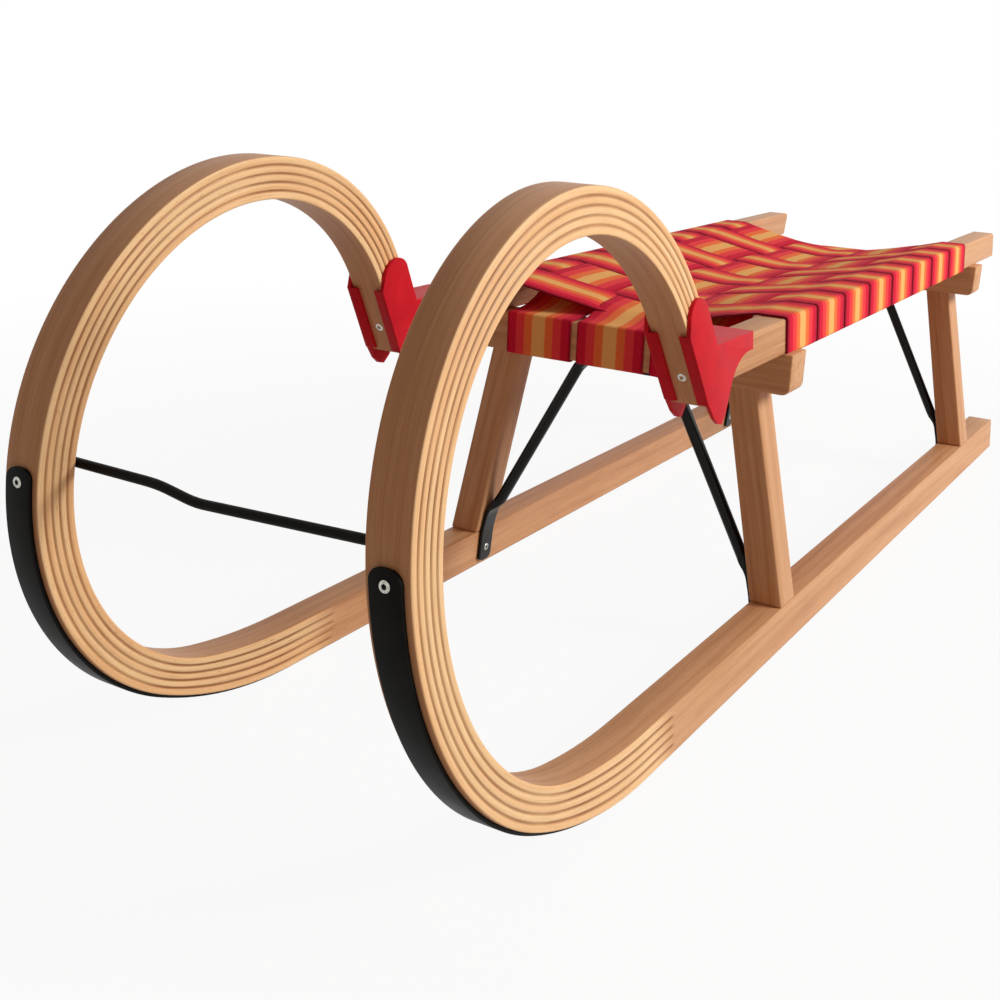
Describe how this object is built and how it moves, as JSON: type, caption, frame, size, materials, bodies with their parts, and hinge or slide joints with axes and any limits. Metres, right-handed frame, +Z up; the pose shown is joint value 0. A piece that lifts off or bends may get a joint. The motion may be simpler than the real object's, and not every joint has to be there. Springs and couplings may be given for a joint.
{
  "type": "wooden horned sled",
  "caption": "Wooden sled with bent laminated horned runners, steel shoes, two braced cross beams on legs and a seat woven from striped webbing between two rails.",
  "frame": {"origin": "on the floor under the middle of the whole sled", "axes": "+X forward to the horns, +Y to the sled's left, +Z up"},
  "size_m": [1.293, 0.3432, 0.4081],
  "materials": {
    "laminated_beech": "clear varnish, glue lines along the bent horns",
    "beech": "clear varnish",
    "shoe_steel": "satin black strip",
    "black_steel": "satin black",
    "red_plastic": "moulded, slightly glossy",
    "webbing": "woven webbing striped red, orange and gold"
  },
  "bodies": {
    "root": {"runner_left": "laminated_beech", "shoe_left": "shoe_steel", "front_leg_left": "beech", "front_stay_left": "black_steel", "rear_leg_left": "beech", "rear_stay_left": "black_steel", "rail_left": "beech", "horn_socket_left": "red_plastic", "runner_right": "laminated_beech", "shoe_right": "shoe_steel", "front_leg_right": "beech", "front_stay_right": "black_steel", "rear_leg_right": "beech", "rear_stay_right": "black_steel", "rail_right": "beech", "horn_socket_right": "red_plastic", "front_beam": "beech", "rear_beam": "beech", "horn_bar": "black_steel", "cross_strap_1": "webbing", "cross_strap_2": "webbing", "cross_strap_3": "webbing", "cross_strap_4": "webbing", "cross_strap_5": "webbing", "cross_strap_6": "webbing", "cross_strap_7": "webbing", "cross_strap_8": "webbing", "long_strap_1": "webbing", "long_strap_2": "webbing", "long_strap_3": "webbing"}
  },
  "joints": []
}
